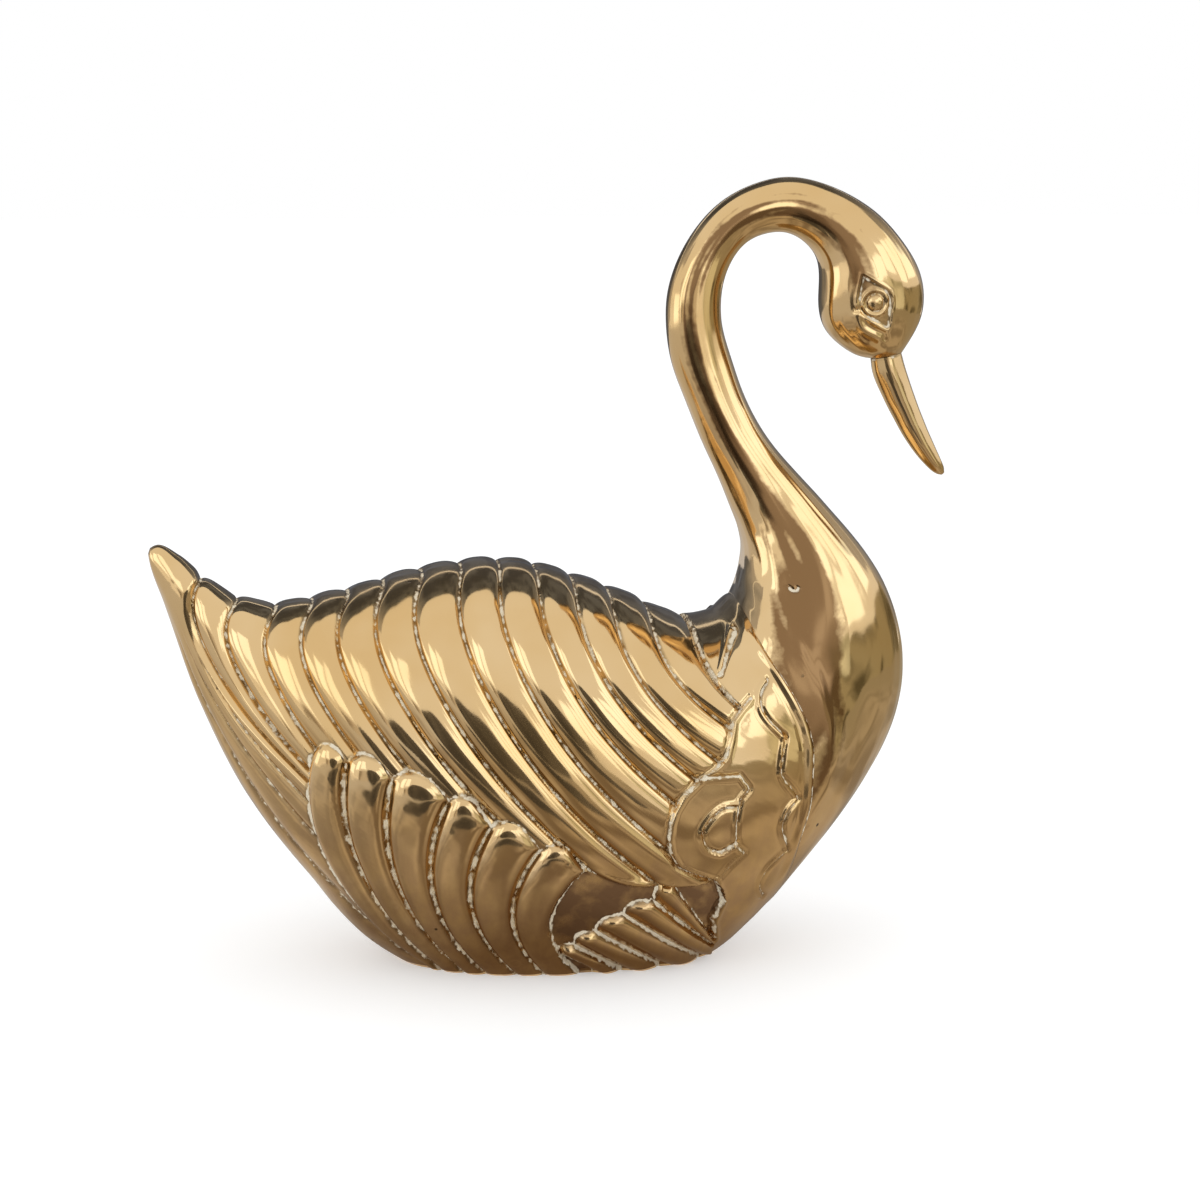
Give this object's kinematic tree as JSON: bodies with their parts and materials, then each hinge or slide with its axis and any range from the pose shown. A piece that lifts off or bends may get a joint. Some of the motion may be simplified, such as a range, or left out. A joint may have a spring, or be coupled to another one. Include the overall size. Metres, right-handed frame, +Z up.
{
  "type": "swan figurine",
  "caption": "Cast brass swan ornament with fluted wings, an upswept tail and a crooked neck, hollow and open underneath, standing on a flat ground rim.",
  "frame": {"origin": "on the ground under the middle of the swan's bounding box, in the seam plane", "axes": "+X towards the beak, +Y to the swan's left, +Z up"},
  "size_m": [0.238, 0.0964, 0.2334],
  "materials": {
    "polished_brass": "polished, with tarnish in the grooves"
  },
  "bodies": {
    "root": {"body_left_half": "polished_brass", "body_right_half": "polished_brass", "neck_left_half": "polished_brass", "neck_right_half": "polished_brass", "beak": "polished_brass"}
  },
  "joints": []
}
